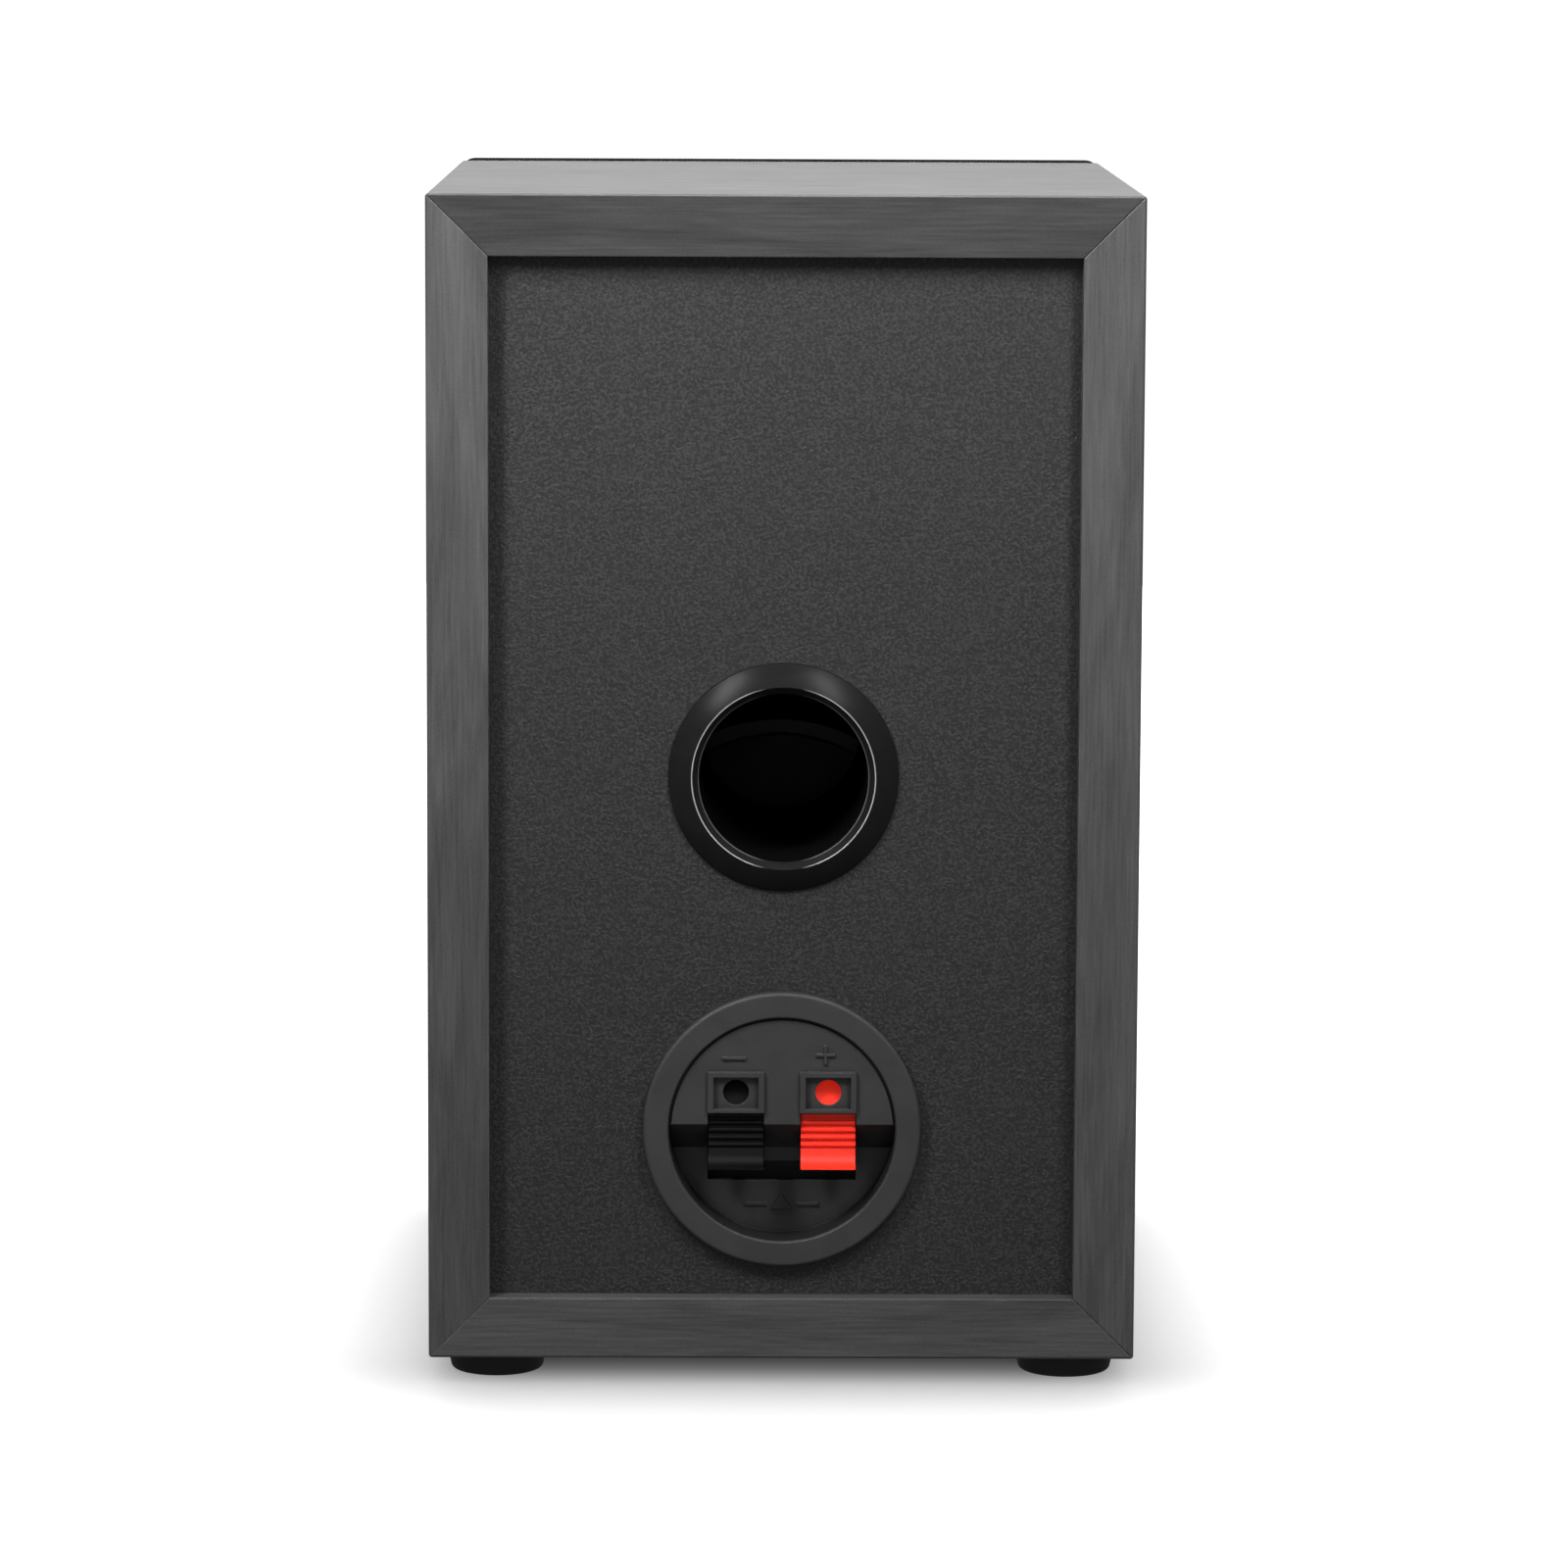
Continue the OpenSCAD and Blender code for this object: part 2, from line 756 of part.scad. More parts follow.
flange_back = y_front + 2.5;
flange_front = y_front + 0.5;
gap_front = y_front + 33.5;
former_r = [10.1, 10.3];

module woofer_gasket() {
    color(foam) at_height(woofer_height) difference() {
        ring_y(woofer_dia / 2 - loose, woofer_cutout_r + loose, flange_back, y_front + woofer_recess);
        four_around_y(woofer_screw_r) rod_y(2, y_front, y_baffle_in);
    }
}

module woofer_basket() {
    flange_r = woofer_dia / 2;
    shoulder_y = flange_back + 23.2;
    cup_r = 29.2;
    t = 1.2;
    outline = [
        [flange_r, flange_front], [flange_r, flange_back], [45.8, flange_back],
        [34, shoulder_y], [cup_r, shoulder_y], [cup_r, gap_front], [12, gap_front],
        [12, gap_front - t], [cup_r - t, gap_front - t], [cup_r - t, shoulder_y - t],
        [33.2, shoulder_y - t], [44.6, flange_front]
    ];
    color(steel) at_height(woofer_height) difference() {
        turned_y(outline);
        four_around_y(woofer_screw_r) rod_y(2, y_front, y_baffle_in);
        for (a = [0 : 60 : 300]) rotate([0, a, 0])
            block([30, flange_back + 3, -12], [50, shoulder_y - 3, 12]);
    }
}

module woofer_trim_ring() {
    color(foam) at_height(woofer_height) ring_y(47, 44.8, y_front - 1.2, y_front - 0.1);
}

// A half roll between two radii, bulging forwards, with flat lips
function roll_outline(r_in, r_out, lip_in, lip_out, y, t) = let (
    middle = [(r_in + r_out) / 2, y],
    r = (r_out - r_in) / 2
) concat(
    [[lip_in, y], [lip_in, y - t], [r_in - t / 2, y - t]],
    arc(middle, r + t / 2, 190, 350, 12),
    [[r_out + t / 2, y - t], [lip_out, y - t], [lip_out, y], [r_out - t / 2, y]],
    arc(middle, r - t / 2, 355, 185, 12),
    [[r_in + t / 2, y]]
);

module woofer_surround() {
    color(foam) at_height(woofer_height)
        turned_y(roll_outline(38.6, 44, 37.2, 46.8, flange_front, 0.6));
}

module woofer_cone() {
    neck_y = y_front + 14.5;
    rim_y = flange_front + 0.1;
    t = 0.7;
    color(black_plastic) at_height(woofer_height) turned_y([
        [former_r[1] + glue, neck_y], [former_r[1] + glue, neck_y - t], [36.8, rim_y], [38.3, rim_y],
        [38.3, rim_y + t * 0.7], [36.8, rim_y + t]
    ]);
}

module woofer_dust_cap() {
    base_r = 14;
    rise = 4.5;
    t = 0.5;
    base_y = y_front + 11.5;
    r = (base_r * base_r + rise * rise) / (2 * rise);
    reach = asin(base_r / r);
    centre = [0, base_y - rise + r];
    color(black_plastic) at_height(woofer_height)
        turned_y(concat(arc(centre, r, -90, reach - 90), arc(centre, r - t, reach - 90, -90)));
}

module woofer_former() {
    color(brass) at_height(woofer_height)
        ring_y(former_r[1], former_r[0], y_front + 13.7, gap_front + 10);
}

module woofer_winding() {
    color(copper) at_height(woofer_height)
        ring_y(former_r[1] + 0.6, former_r[1], gap_front - 5, gap_front + 9);
}

module woofer_spider() {
    waves = 4;
    inner_r = former_r[1] + loose;
    outer_r = 28;
    t = 0.4;
    y = y_front + 23.6;
    steps = waves * 8;
    function wave(i) = [
        inner_r + (outer_r - inner_r) * i / steps,
        y + 0.8 * sin(360 * waves * i / steps)
    ];
    color([0.75, 0.6, 0.35]) at_height(woofer_height) turned_y(concat(
        [for (i = [0 : steps]) wave(i) - [0, t]],
        [[33, y - t], [33, y]],
        [for (i = [steps : -1 : 0]) wave(i)]
    ));
}

module woofer_top_plate() {
    color(steel) at_height(woofer_height) ring_y(30, 11.4, gap_front, gap_front + 4);
}

module woofer_magnet() {
    color(ferrite) at_height(woofer_height)
        ring_y(woofer_magnet_dia / 2, 14, gap_front + 4, gap_front + 17);
}

module woofer_yoke() {
    color(steel) at_height(woofer_height) difference() {
        union() {
            rod_y(woofer_magnet_dia / 2 - 3, gap_front + 17, gap_front + 22);
            rod_y(9.6, gap_front - 0.5, gap_front + 18);
        }
        rod_y(3, gap_front - 2, gap_front + 23);
    }
}

module woofer_terminal() {
    y = flange_back + 23.2;
    color(copper) at_height(woofer_height) block([29.6, y, -7], [43, y + 1.2, 7]);
}

// A pan-head screw along Y with its head's underside at y = 0 and its point inwards
module pan_screw(head_r, head_h, shank_r, shank_len) {
    difference() {
        turned_y([
            [0, -head_h], [head_r * 0.6, -head_h], [head_r, -head_h * 0.45], [head_r, 0],
            [shank_r, 0], [shank_r, shank_len - 1.5], [0, shank_len]
        ]);
        for (a = [0, 90]) rotate([0, a, 0])
            block([-head_r * 0.55, -head_h - 1, -0.35], [head_r * 0.55, -head_h * 0.4, 0.35]);
    }
}

module woofer_screws() {
    color(steel) at_height(woofer_height) four_around_y(woofer_screw_r)
        translate([0, flange_front, 0]) pan_screw(3.1, 2.2, 1.6, 12);
}

// ---------- Tweeter ----------

faceplate_back = y_front + tweeter_recess;
tweeter_gap_r = [12.1, 13.6];

module tweeter_faceplate() {
    throat_r = 15.2;
    color(black_plastic) at_height(tweeter_height) difference() {
        turned_y([
            [throat_r, faceplate_back], [throat_r, faceplate_back - 0.6], [22, y_front + 0.6],
            [23, y_front], [tweeter_dia / 2 - 0.6, y_front], [tweeter_dia / 2, y_front + 0.6],
            [tweeter_dia / 2, faceplate_back]
        ]);
        four_around_y(tweeter_screw_r) rod_y(1.6, y_front - 1, faceplate_back + 1);
    }
}

module tweeter_dome() {
    base_r = 12.6;
    rise = 4.4;
    t = 0.35;
    base_y = y_front + 2.1;
    r = (base_r * base_r + rise * rise) / (2 * rise);
    reach = asin(base_r / r);
    centre = [0, base_y - rise + r];
    color(foam) at_height(tweeter_height)
        turned_y(concat(arc(centre, r, -90, reach - 90), arc(centre, r - t, reach - 90, -90)));
}

module tweeter_surround() {
    color(foam) at_height(tweeter_height)
        turned_y(roll_outline(13.2, 14.6, 12.95, 15, y_front + 2.3, 0.25));
}

module tweeter_coil() {
    color(copper) at_height(tweeter_height) {
        ring_y(12.6, 12.4, y_front + 2.45, y_front + 6.6);
        ring_y(13.1, 12.6, y_front + 3.2, y_front + 5.8);
    }
}

module tweeter_top_plate() {
    color(steel) at_height(tweeter_height)
        ring_y(28, tweeter_gap_r[1], faceplate_back, faceplate_back + 3);
}

module tweeter_magnet() {
    color(ferrite) at_height(tweeter_height)
        ring_y(27.5, 15, faceplate_back + 3, faceplate_back + 12);
}

module tweeter_yoke() {
    color(steel) at_height(tweeter_height) {
        rod_y(25, faceplate_back + 12, faceplate_back + 16);
        rod_y(tweeter_gap_r[0], faceplate_back, faceplate_back + 12.5);
    }
}

module tweeter_terminal() {
    y = faceplate_back + 16;
    color(copper) at_height(tweeter_height) block([-9, y, -5], [9, y + 1.2, 5]);
}

module tweeter_screws() {
    color(black_plastic) at_height(tweeter_height) four_around_y(tweeter_screw_r)
        translate([0, y_front, 0]) pan_screw(2.5, 1.8, 1.3, 12);
}

// ---------- Grille ----------

frame_back = y_front - 0.8;
frame_front = -total_d / 2 + cloth_t;
grille_corner_r = 3;

module grille_outline(grow) {
    translate([0, middle_z])
        round_rect(cabinet_w + 2 * grow, cabinet_h + 2 * grow, grille_corner_r + grow);
}

module grille_frame() {
    opening_r = 26;
    bar_z = z0 + 143;
    color(black_plastic) {
        difference() {
            along_y(frame_front, frame_back) grille_outline(0);
            along_y(frame_front - 1, frame_back + 1) translate([0, middle_z]) round_rect(
                cabinet_w - 2 * grille_member, cabinet_h - 2 * grille_member, opening_r
            );
            at_pegs() rod_y(peg_r, frame_back - 4, frame_back + 1);
        }
        block(
            [-half_w + grille_member - 1, frame_front, bar_z - 3],
            [half_w - grille_member + 1, frame_front + 4, bar_z + 3]
        );
    }
}

module grille_cloth() {
    color(black_panel) difference() {
        along_y(-total_d / 2, frame_back) grille_outline(cloth_t);
        along_y(frame_front, frame_back + 1) grille_outline(0);
    }
}

module grille_pegs() {
    peg_len = 7;
    color(black_plastic) at_pegs() turned_y([
        [0, frame_back - 4], [peg_r, frame_back - 4], [peg_r, frame_back],
        [peg_r + 1.4, frame_back], [peg_r + 1.4, frame_back + 0.6], [peg_r, frame_back + 0.6],
        [peg_r, frame_back + peg_len], [peg_r - 0.8, frame_back + peg_len + 1.2],
        [0, frame_back + peg_len + 1.2]
    ]);
}

module grille_sockets() {
    bore_r = peg_r + running;
    color(foam) at_pegs() turned_y([
        [0, y_front + socket_depth], [socket_r, y_front + socket_depth], [socket_r, y_front + 1],
        [socket_flange_r, y_front + 1], [socket_flange_r, y_front], [bore_r, y_front],
        [bore_r, y_front + socket_depth - 1.5], [0, y_front + socket_depth - 1.5]
    ]);
}

// ---------- Damping wadding ----------

pad_t = 14;

module damping_pad_top() {
    color(wadding) block([-54, -40, inner_z1 - pad_t], [54, 66, inner_z1 - 0.3]);
}

module side_pad(side) {
    wall = side * (inner_half_w - 0.3);
    face = side * (inner_half_w - pad_t);
    color(wadding) block([min(wall, face), 10, 50], [max(wall, face), 66, 205]);
}

module damping_pad_left() { side_pad(-1); }
module damping_pad_right() { side_pad(1); }

// ---------- What is drawn ----------

cabinet_top();
cabinet_bottom();
cabinet_left();
cabinet_right();
front_baffle();
rear_panel();
port_tube();
foot_front_left();
foot_front_right();
foot_rear_left();
foot_rear_right();
terminal_cup();
terminal_gasket();
terminal_back_plate();
lever_axle();
push_lever_black();
push_lever_red();
lever_spring_black();
lever_spring_red();
contact_strips();
input_wires();
crossover_board();
crossover_standoffs();
crossover_screws();
woofer_inductor();
tweeter_inductor();
crossover_capacitor();
crossover_resistor();
woofer_gasket();
woofer_basket();
woofer_trim_ring();
woofer_surround();
woofer_cone();
woofer_dust_cap();
woofer_former();
woofer_winding();
woofer_spider();
woofer_top_plate();
woofer_magnet();
woofer_yoke();
woofer_terminal();
woofer_screws();
woofer_wires();
tweeter_faceplate();
tweeter_dome();
tweeter_surround();
tweeter_coil();
tweeter_top_plate();
tweeter_magnet();
tweeter_yoke();
tweeter_terminal();
tweeter_screws();
tweeter_wires();
grille_frame();
grille_cloth();
grille_pegs();
grille_sockets();
damping_pad_top();
damping_pad_left();
damping_pad_right();
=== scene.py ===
"""The bookshelf speaker's looks: camera, materials, studio, and the soft pieces that replace CAD solids."""
import json
import math

import bmesh
import bpy
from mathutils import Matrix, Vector, noise


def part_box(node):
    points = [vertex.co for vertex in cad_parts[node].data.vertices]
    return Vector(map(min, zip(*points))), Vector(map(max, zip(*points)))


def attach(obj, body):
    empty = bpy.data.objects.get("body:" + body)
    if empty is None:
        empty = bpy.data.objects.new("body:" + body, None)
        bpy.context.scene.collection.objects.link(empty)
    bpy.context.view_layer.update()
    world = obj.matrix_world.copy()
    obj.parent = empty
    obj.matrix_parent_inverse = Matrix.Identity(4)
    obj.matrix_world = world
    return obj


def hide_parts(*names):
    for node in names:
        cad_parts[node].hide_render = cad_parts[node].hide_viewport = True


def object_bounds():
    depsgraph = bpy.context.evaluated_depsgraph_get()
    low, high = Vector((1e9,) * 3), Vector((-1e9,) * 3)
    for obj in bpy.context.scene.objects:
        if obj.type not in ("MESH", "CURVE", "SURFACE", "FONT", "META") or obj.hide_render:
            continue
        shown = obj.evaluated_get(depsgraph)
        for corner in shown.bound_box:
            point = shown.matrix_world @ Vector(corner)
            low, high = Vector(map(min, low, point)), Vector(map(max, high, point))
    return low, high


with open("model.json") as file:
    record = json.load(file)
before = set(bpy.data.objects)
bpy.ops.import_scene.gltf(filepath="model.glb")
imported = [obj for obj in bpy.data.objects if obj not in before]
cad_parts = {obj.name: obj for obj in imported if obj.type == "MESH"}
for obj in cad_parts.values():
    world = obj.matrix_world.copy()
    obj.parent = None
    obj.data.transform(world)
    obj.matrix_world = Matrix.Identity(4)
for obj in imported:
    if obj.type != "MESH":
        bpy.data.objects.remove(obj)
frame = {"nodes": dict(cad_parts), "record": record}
cad_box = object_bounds()
MM = 0.001


# ---------- Camera ----------

def make_camera():
    """The photograph's view: behind the speaker and a little above it, through a long lens."""
    data = bpy.data.cameras.new("camera")
    data.sensor_width = 36
    data.lens = 145
    data.clip_start = 10 * MM
    tilt, roll, turn = 82.158, -0.25, 179.578
    camera = bpy.data.objects.new("camera", data)
    camera.location = (0.0102, 1.3793, 0.3035)
    camera.rotation_euler = [math.radians(angle) for angle in (tilt, roll, turn)]
    bpy.context.scene.collection.objects.link(camera)
    bpy.context.scene.camera = camera


# ---------- Node trees ----------

class Shader:
    """A material's node tree, with short calls that add and join its nodes."""

    def __init__(self, name, material=None):
        self.material = material or bpy.data.materials.new(name)
        self.material.use_nodes = True
        self.nodes = self.material.node_tree.nodes
        self.links = self.material.node_tree.links
        self.surface = self.nodes["Principled BSDF"]

    @classmethod
    def of(cls, material):
        """The tree of a material that is already made, to add to it."""
        return cls(material.name, material)

    def node(self, kind, inputs=None, **settings):
        """Adds a shader node, with its inputs fed and its settings set."""
        made = self.nodes.new("ShaderNode" + kind)
        for key, value in settings.items():
            setattr(made, key, value)
        for key, value in (inputs or {}).items():
            self.feed(made.inputs[key], value)
        return made

    def feed(self, socket, value):
        """Joins a socket to another one, or sets it to a plain value."""
        if isinstance(value, bpy.types.NodeSocket):
            self.links.new(value, socket)
        else:
            socket.default_value = value

    def principled(self, **values):
        """Feeds the surface's inputs, named with _ for each space."""
        for key, value in values.items():
            self.feed(self.surface.inputs[key.replace("_", " ")], value)

    def place(self, stretch=(1, 1, 1), centre=(0, 0, 0)):
        """Object coordinates in metres from a centre, stretched by a factor along each axis."""
        shift = [-c * k for c, k in zip(centre, stretch)]
        coordinates = self.node("TexCoord").outputs["Object"]
        return self.node("Mapping", {"Vector": coordinates, "Location": shift, "Scale": stretch}).outputs[0]

    def vector_math(self, operation, a, b=(0, 0, 0)):
        """A vector worked out from one or two others."""
        return self.node("VectorMath", {0: a, 1: b}, operation=operation).outputs["Vector"]

    def length(self, vector):
        """How long a vector is."""
        return self.node("VectorMath", {0: vector}, operation="LENGTH").outputs["Value"]

    def coordinate(self, axis, vector):
        """One coordinate of a vector: X, Y or Z."""
        return self.node("SeparateXYZ", {"Vector": vector}).outputs[axis]

    def outside(self, half_x, half_y):
        """The distance on the level from a rectangle that is centred on the origin."""
        quarter = self.vector_math("ABSOLUTE", self.place((1, 1, 0)))
        beyond = self.vector_math("SUBTRACT", quarter, (half_x, half_y, 0))
        return self.length(self.vector_math("MAXIMUM", beyond, (0, 0, 0)))

    def noise(self, scale, where=None, detail=4.0, roughness=0.55, distortion=0.0):
        """A cloudy level from 0 to 1; the scale counts clouds per metre, or per unit of where."""
        made = self.node("TexNoise", {
            "Vector": where or self.place(), "Scale": scale, "Detail": detail,
            "Roughness": roughness, "Distortion": distortion,
        })
        return made.outputs["Fac"]

    def cells(self, scale, feature="F1"):
        """The distance from the centres, or from the edges, of a pattern of cells."""
        made = self.node("TexVoronoi", {"Vector": self.place(), "Scale": scale}, feature=feature)
        return made.outputs["Distance"]

    def ramp(self, fac, *stops):
        """A colour or grey level that goes through (position, level) stops."""
        made = self.node("ValToRGB", {"Fac": fac})
        elements = made.color_ramp.elements
        while len(elements) < len(stops):
            elements.new(0.5)
        for element, (position, level) in zip(elements, stops):
            element.position = position
            element.color = grey(level)
        return made.outputs["Color"]

    def mix(self, fac, a, b):
        """Colour or level a where fac is 0, b where it is 1."""
        made = self.node("MixRGB", {"Fac": fac})
        for socket, value in ((made.inputs[1], a), (made.inputs[2], b)):
            self.feed(socket, value if isinstance(value, bpy.types.NodeSocket) else grey(value))
        return made.outputs[0]

    def math(self, operation, a, b=0.0):
        """A level worked out from one or two others."""
        made = self.node("Math", operation=operation)
        self.feed(made.inputs[0], a)
        self.feed(made.inputs[1], b)
        return made.outputs[0]

    def scaled(self, level, factor):
        """A level made larger or smaller."""
        return self.math("MULTIPLY", level, factor)

    def rounded(self, radius):
        """The surface's direction with its sharp edges eased, so that they catch a highlight."""
        return self.node("Bevel", {"Radius": radius}, samples=6).outputs["Normal"]

    def edge_mask(self, radius):
        """1 along sharp edges, falling to 0 a radius away: there the eased direction is the face's own."""
        flat = self.node("NewGeometry").outputs["Normal"]
        agree = self.node("VectorMath", {0: self.rounded(radius), 1: flat}, operation="DOT_PRODUCT")
        return self.ramp(agree.outputs["Value"], (0.82, 1.0), (0.985, 0.0))

    def bump(self, height, depth, normal=None):
        """A surface direction that follows a height, over another direction where one is given."""
        made = self.node("Bump", {"Height": height, "Distance": depth, "Strength": 1.0})
        if normal is not None:
            self.feed(made.inputs["Normal"], normal)
        return made.outputs["Normal"]


def grey(level):
    """A colour as four numbers, from a grey level or from three."""
    return (*level, 1) if hasattr(level, "__len__") else (level, level, level, 1)


def times(colour, factor):
    """A colour made darker or lighter."""
    return [c * factor for c in colour]


# ---------- Materials ----------

def woodgrain(name, along, tone=1.0, shine=0.5):
    """Black woodgrain vinyl with its grain along one axis: pores, soft figure and lighter edges; tone darkens
    it all as painted shade.
    """
    s = Shader(name)
    fine_stretch = [1700, 1700, 1700]
    fine_stretch[along] = 60
    broad_stretch = [70, 70, 70]
    broad_stretch[along] = 11
    pores = s.noise(1, s.place(fine_stretch), detail=3, roughness=0.6)
    figure = s.noise(1, s.place(broad_stretch), detail=6, roughness=0.62, distortion=1.6)
    speckle = s.noise(2400, detail=2)
    handled = s.noise(24, detail=3)
    grain = s.math("ADD", s.scaled(pores, 0.7), s.scaled(speckle, 0.3))
    # tone below 1 darkens the whole board as painted shade, for a board that more light falls on
    dark = s.ramp(grain, (0.36, 0.022 * tone), (0.62, 0.042 * tone))
    pale = s.ramp(grain, (0.36, 0.036 * tone), (0.62, 0.062 * tone))
    colour = s.mix(s.ramp(figure, (0.36, 0.0), (0.58, 1.0)), dark, pale)
    # The colour is lighter along the eased edges
    edge_colour = 0.11
    height = s.math("ADD", grain, s.scaled(figure, 0.4))
    s.principled(
        Base_Color=s.mix(s.scaled(s.edge_mask(0.3 * MM), 0.5), colour, edge_colour),
        Roughness=s.math("ADD", s.ramp(grain, (0.35, 0.5), (0.65, 0.4)), s.scaled(handled, 0.06)),
        Normal=s.bump(height, 0.03 * MM, s.rounded(0.35 * MM)),
        Specular_IOR_Level=shine,
    )
    return s.material


def pebbled(name, level):
    """Fine pebbled black vinyl, as pressed on the panels: the tops of the pebbles are painted lighter, as a
    painted highlight where they catch the light.
    """
    s = Shader(name)
    pebbles = s.cells(1300, feature="SMOOTH_F1")
    drift = s.noise(45, detail=5)
    speckle = s.noise(1500, detail=3, roughness=0.7)
    # Painted highlight: where the speckle is high the colour goes lighter, as on pebble tops that catch the
    # light
    tops = s.ramp(speckle, (0.45, 0.0), (0.64, 1.0))
    low = s.ramp(drift, (0.35, level * 0.7), (0.65, level * 0.9))
    s.principled(
        Base_Color=s.mix(tops, low, level * 3.0),
        Roughness=s.ramp(speckle, (0.3, 0.62), (0.7, 0.5)),
        Normal=s.bump(s.math("SUBTRACT", tops, pebbles), 0.06 * MM, s.rounded(0.2 * MM)),
        Specular_IOR_Level=0.4,
    )
    return s.material


def moulded(name, colour, gloss, texture=2600, depth=0.012, edge=0.3, light=1.35, shine=0.5, glow=0.0,
            recess=0.0, shade=None):
    """Moulded plastic: a spark-eroded skin, faint flow marks, and eased edges that are a little lighter.

    In mm, depth is the skin's height, edge its edges' radius, and recess how near other walls must come for
    painted shade to darken it.
    glow is how much light passes through it, and shade makes the nodes that say where painted shade darkens
    it most.
    """
    s = Shader(name)
    skin = s.noise(texture, detail=2)
    flow = s.noise(90, detail=4, distortion=0.8)
    pale = [min(1.0, c * light + 0.002) for c in colour]
    edges = [min(1.0, c * 1.5 + 0.012) for c in colour]
    face = s.mix(s.ramp(flow, (0.35, 0.0), (0.7, 0.55)), colour, pale)
    # Painted shade: the colour darkens to a fifth where other walls come within recess mm, as if shade fell
    # in the hollows
    if recess:
        open_sky = s.node("AmbientOcclusion", {"Distance": recess * MM}, samples=8).outputs["AO"]
        face = s.mix(s.ramp(open_sky, (0.35, 1.0), (0.85, 0.0)), face, times(colour, 0.2))
    whole = s.mix(s.scaled(s.edge_mask(edge * MM), 0.6), face, edges)
    if shade:
        # Painted shade: the colour darkens to a quarter where the shade nodes say
        whole = s.mix(shade(s), whole, times(colour, 0.25))
    s.principled(
        Base_Color=whole,
        Roughness=s.math("ADD", gloss - 0.04, s.scaled(s.math("ADD", skin, flow), 0.05)),
        Normal=s.bump(skin, depth * MM, s.rounded(edge * MM)),
        Specular_IOR_Level=shine,
        Subsurface_Weight=glow,
        Subsurface_Radius=(1.0, 0.25, 0.15),
        Subsurface_Scale=1.5 * MM,
    )
    return s.material


def pocket_wall_shade(s):
    """Where painted shade darkens the cup: 1 on the cup's round inner wall, behind the face of its ring, and
    0 elsewhere.
    """
    low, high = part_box("terminal_cup")
    # The ramp's positions are parts of the ring's outer radius
    ring_r = (high.x - low.x) / 2
    radius = s.length(s.place((1 / ring_r, 0, 1 / ring_r), (low + high) / 2))
    wall = s.ramp(radius, (0.795, 0.0), (0.8, 1.0), (0.85, 1.0), (0.87, 0.0))
    behind_face = s.math("LESS_THAN", s.coordinate("Y", s.place()), high.y - 0.15 * MM)
    return s.math("MULTIPLY", wall, behind_face)


def lever_plastic(name, colour, node):
    """The coloured lever's plastic, with painted light in the gate behind the wire hole: it glows as though
    lit through the hole.
    """
    material = moulded(name, colour, 0.34, edge=0.2, light=1.1, shine=0.3, glow=0.3)
    s = Shader.of(material)
    gate_height = 6.5 * MM
    gate_painted_light = 0.4
    gate_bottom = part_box(node)[1].z - gate_height
    in_gate = s.math("GREATER_THAN", s.coordinate("Z", s.place()), gate_bottom)
    # Painted light: above gate_bottom the lever glows in its own colour, as though lit through the wire hole
    s.principled(Emission_Color=s.mix(s.scaled(in_gate, gate_painted_light), 0.0, colour), Emission_Strength=1.0)
    return material


def port_plastic(name):
    """The port's black plastic: a satin flare, a dull bore painted darker as shade, and a painted highlight
    on two edges at the left and right.
    """
    s = Shader(name)
    low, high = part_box("port_tube")
    # The ramps' positions are radii from the port's axis in this unit, which keeps them between 0 and 1
    unit = 20 * MM
    where = s.place((1 / unit, 0, 1 / unit), (low + high) / 2)
    radius = s.length(where)
    bore = s.ramp(radius, (0.876, 1.0), (0.878, 0.0))
    across = s.math("ABSOLUTE", s.coordinate("X", where))
    sides = s.ramp(s.math("DIVIDE", across, radius), (0.2, 0.0), (0.4, 1.0))
    # Painted highlight on the two edges, at the left and right only; the edge where the bore begins is
    # fainter than the one round the flare
    edges = s.ramp(
        radius,
        (0.878, 0.0), (0.88, 0.3), (0.884, 0.3), (0.887, 0.0),
        (0.942, 0.0), (0.945, 1.0), (0.952, 1.0), (0.955, 0.0),
    )
    flow = s.noise(90, detail=4, distortion=0.8)
    skin = s.noise(2600, detail=2)
    flare = s.ramp(flow, (0.35, 0.008), (0.7, 0.0105))
    # The bore's colour is near-black, darker than the flare's, as painted shade inside the tube; the edges'
    # colour is the painted highlight
    bore_shade_black, painted_highlight = 0.0006, 0.36
    s.principled(
        Base_Color=s.mix(s.math("MULTIPLY", edges, sides), s.mix(bore, flare, bore_shade_black), painted_highlight),
        Roughness=s.mix(bore, s.ramp(skin, (0.3, 0.27), (0.7, 0.31)), 0.8),
        Normal=s.bump(skin, 0.002 * MM, s.rounded(0.12 * MM)),
        Specular_IOR_Level=0.05,
    )
    return s.material


def metal(name, colour, gloss, brushed_along=None):
    """Bare or plated metal, with brushing along an axis where it was rolled."""
    s = Shader(name)
    stretch = [900, 900, 900]
    if brushed_along is not None:
        stretch[brushed_along] = 20
    grain = s.noise(1, s.place(stretch), detail=3)
    tarnish = s.noise(140, detail=4)
    s.principled(
        Base_Color=s.mix(s.ramp(tarnish, (0.35, 0.0), (0.75, 0.8)), colour, times(colour, 0.72)),
        Metallic=1.0,
        Roughness=s.math("ADD", gloss, s.scaled(tarnish, 0.12)),
        Normal=s.bump(grain, 0.006 * MM, s.rounded(0.15 * MM)),
    )
    return s.material


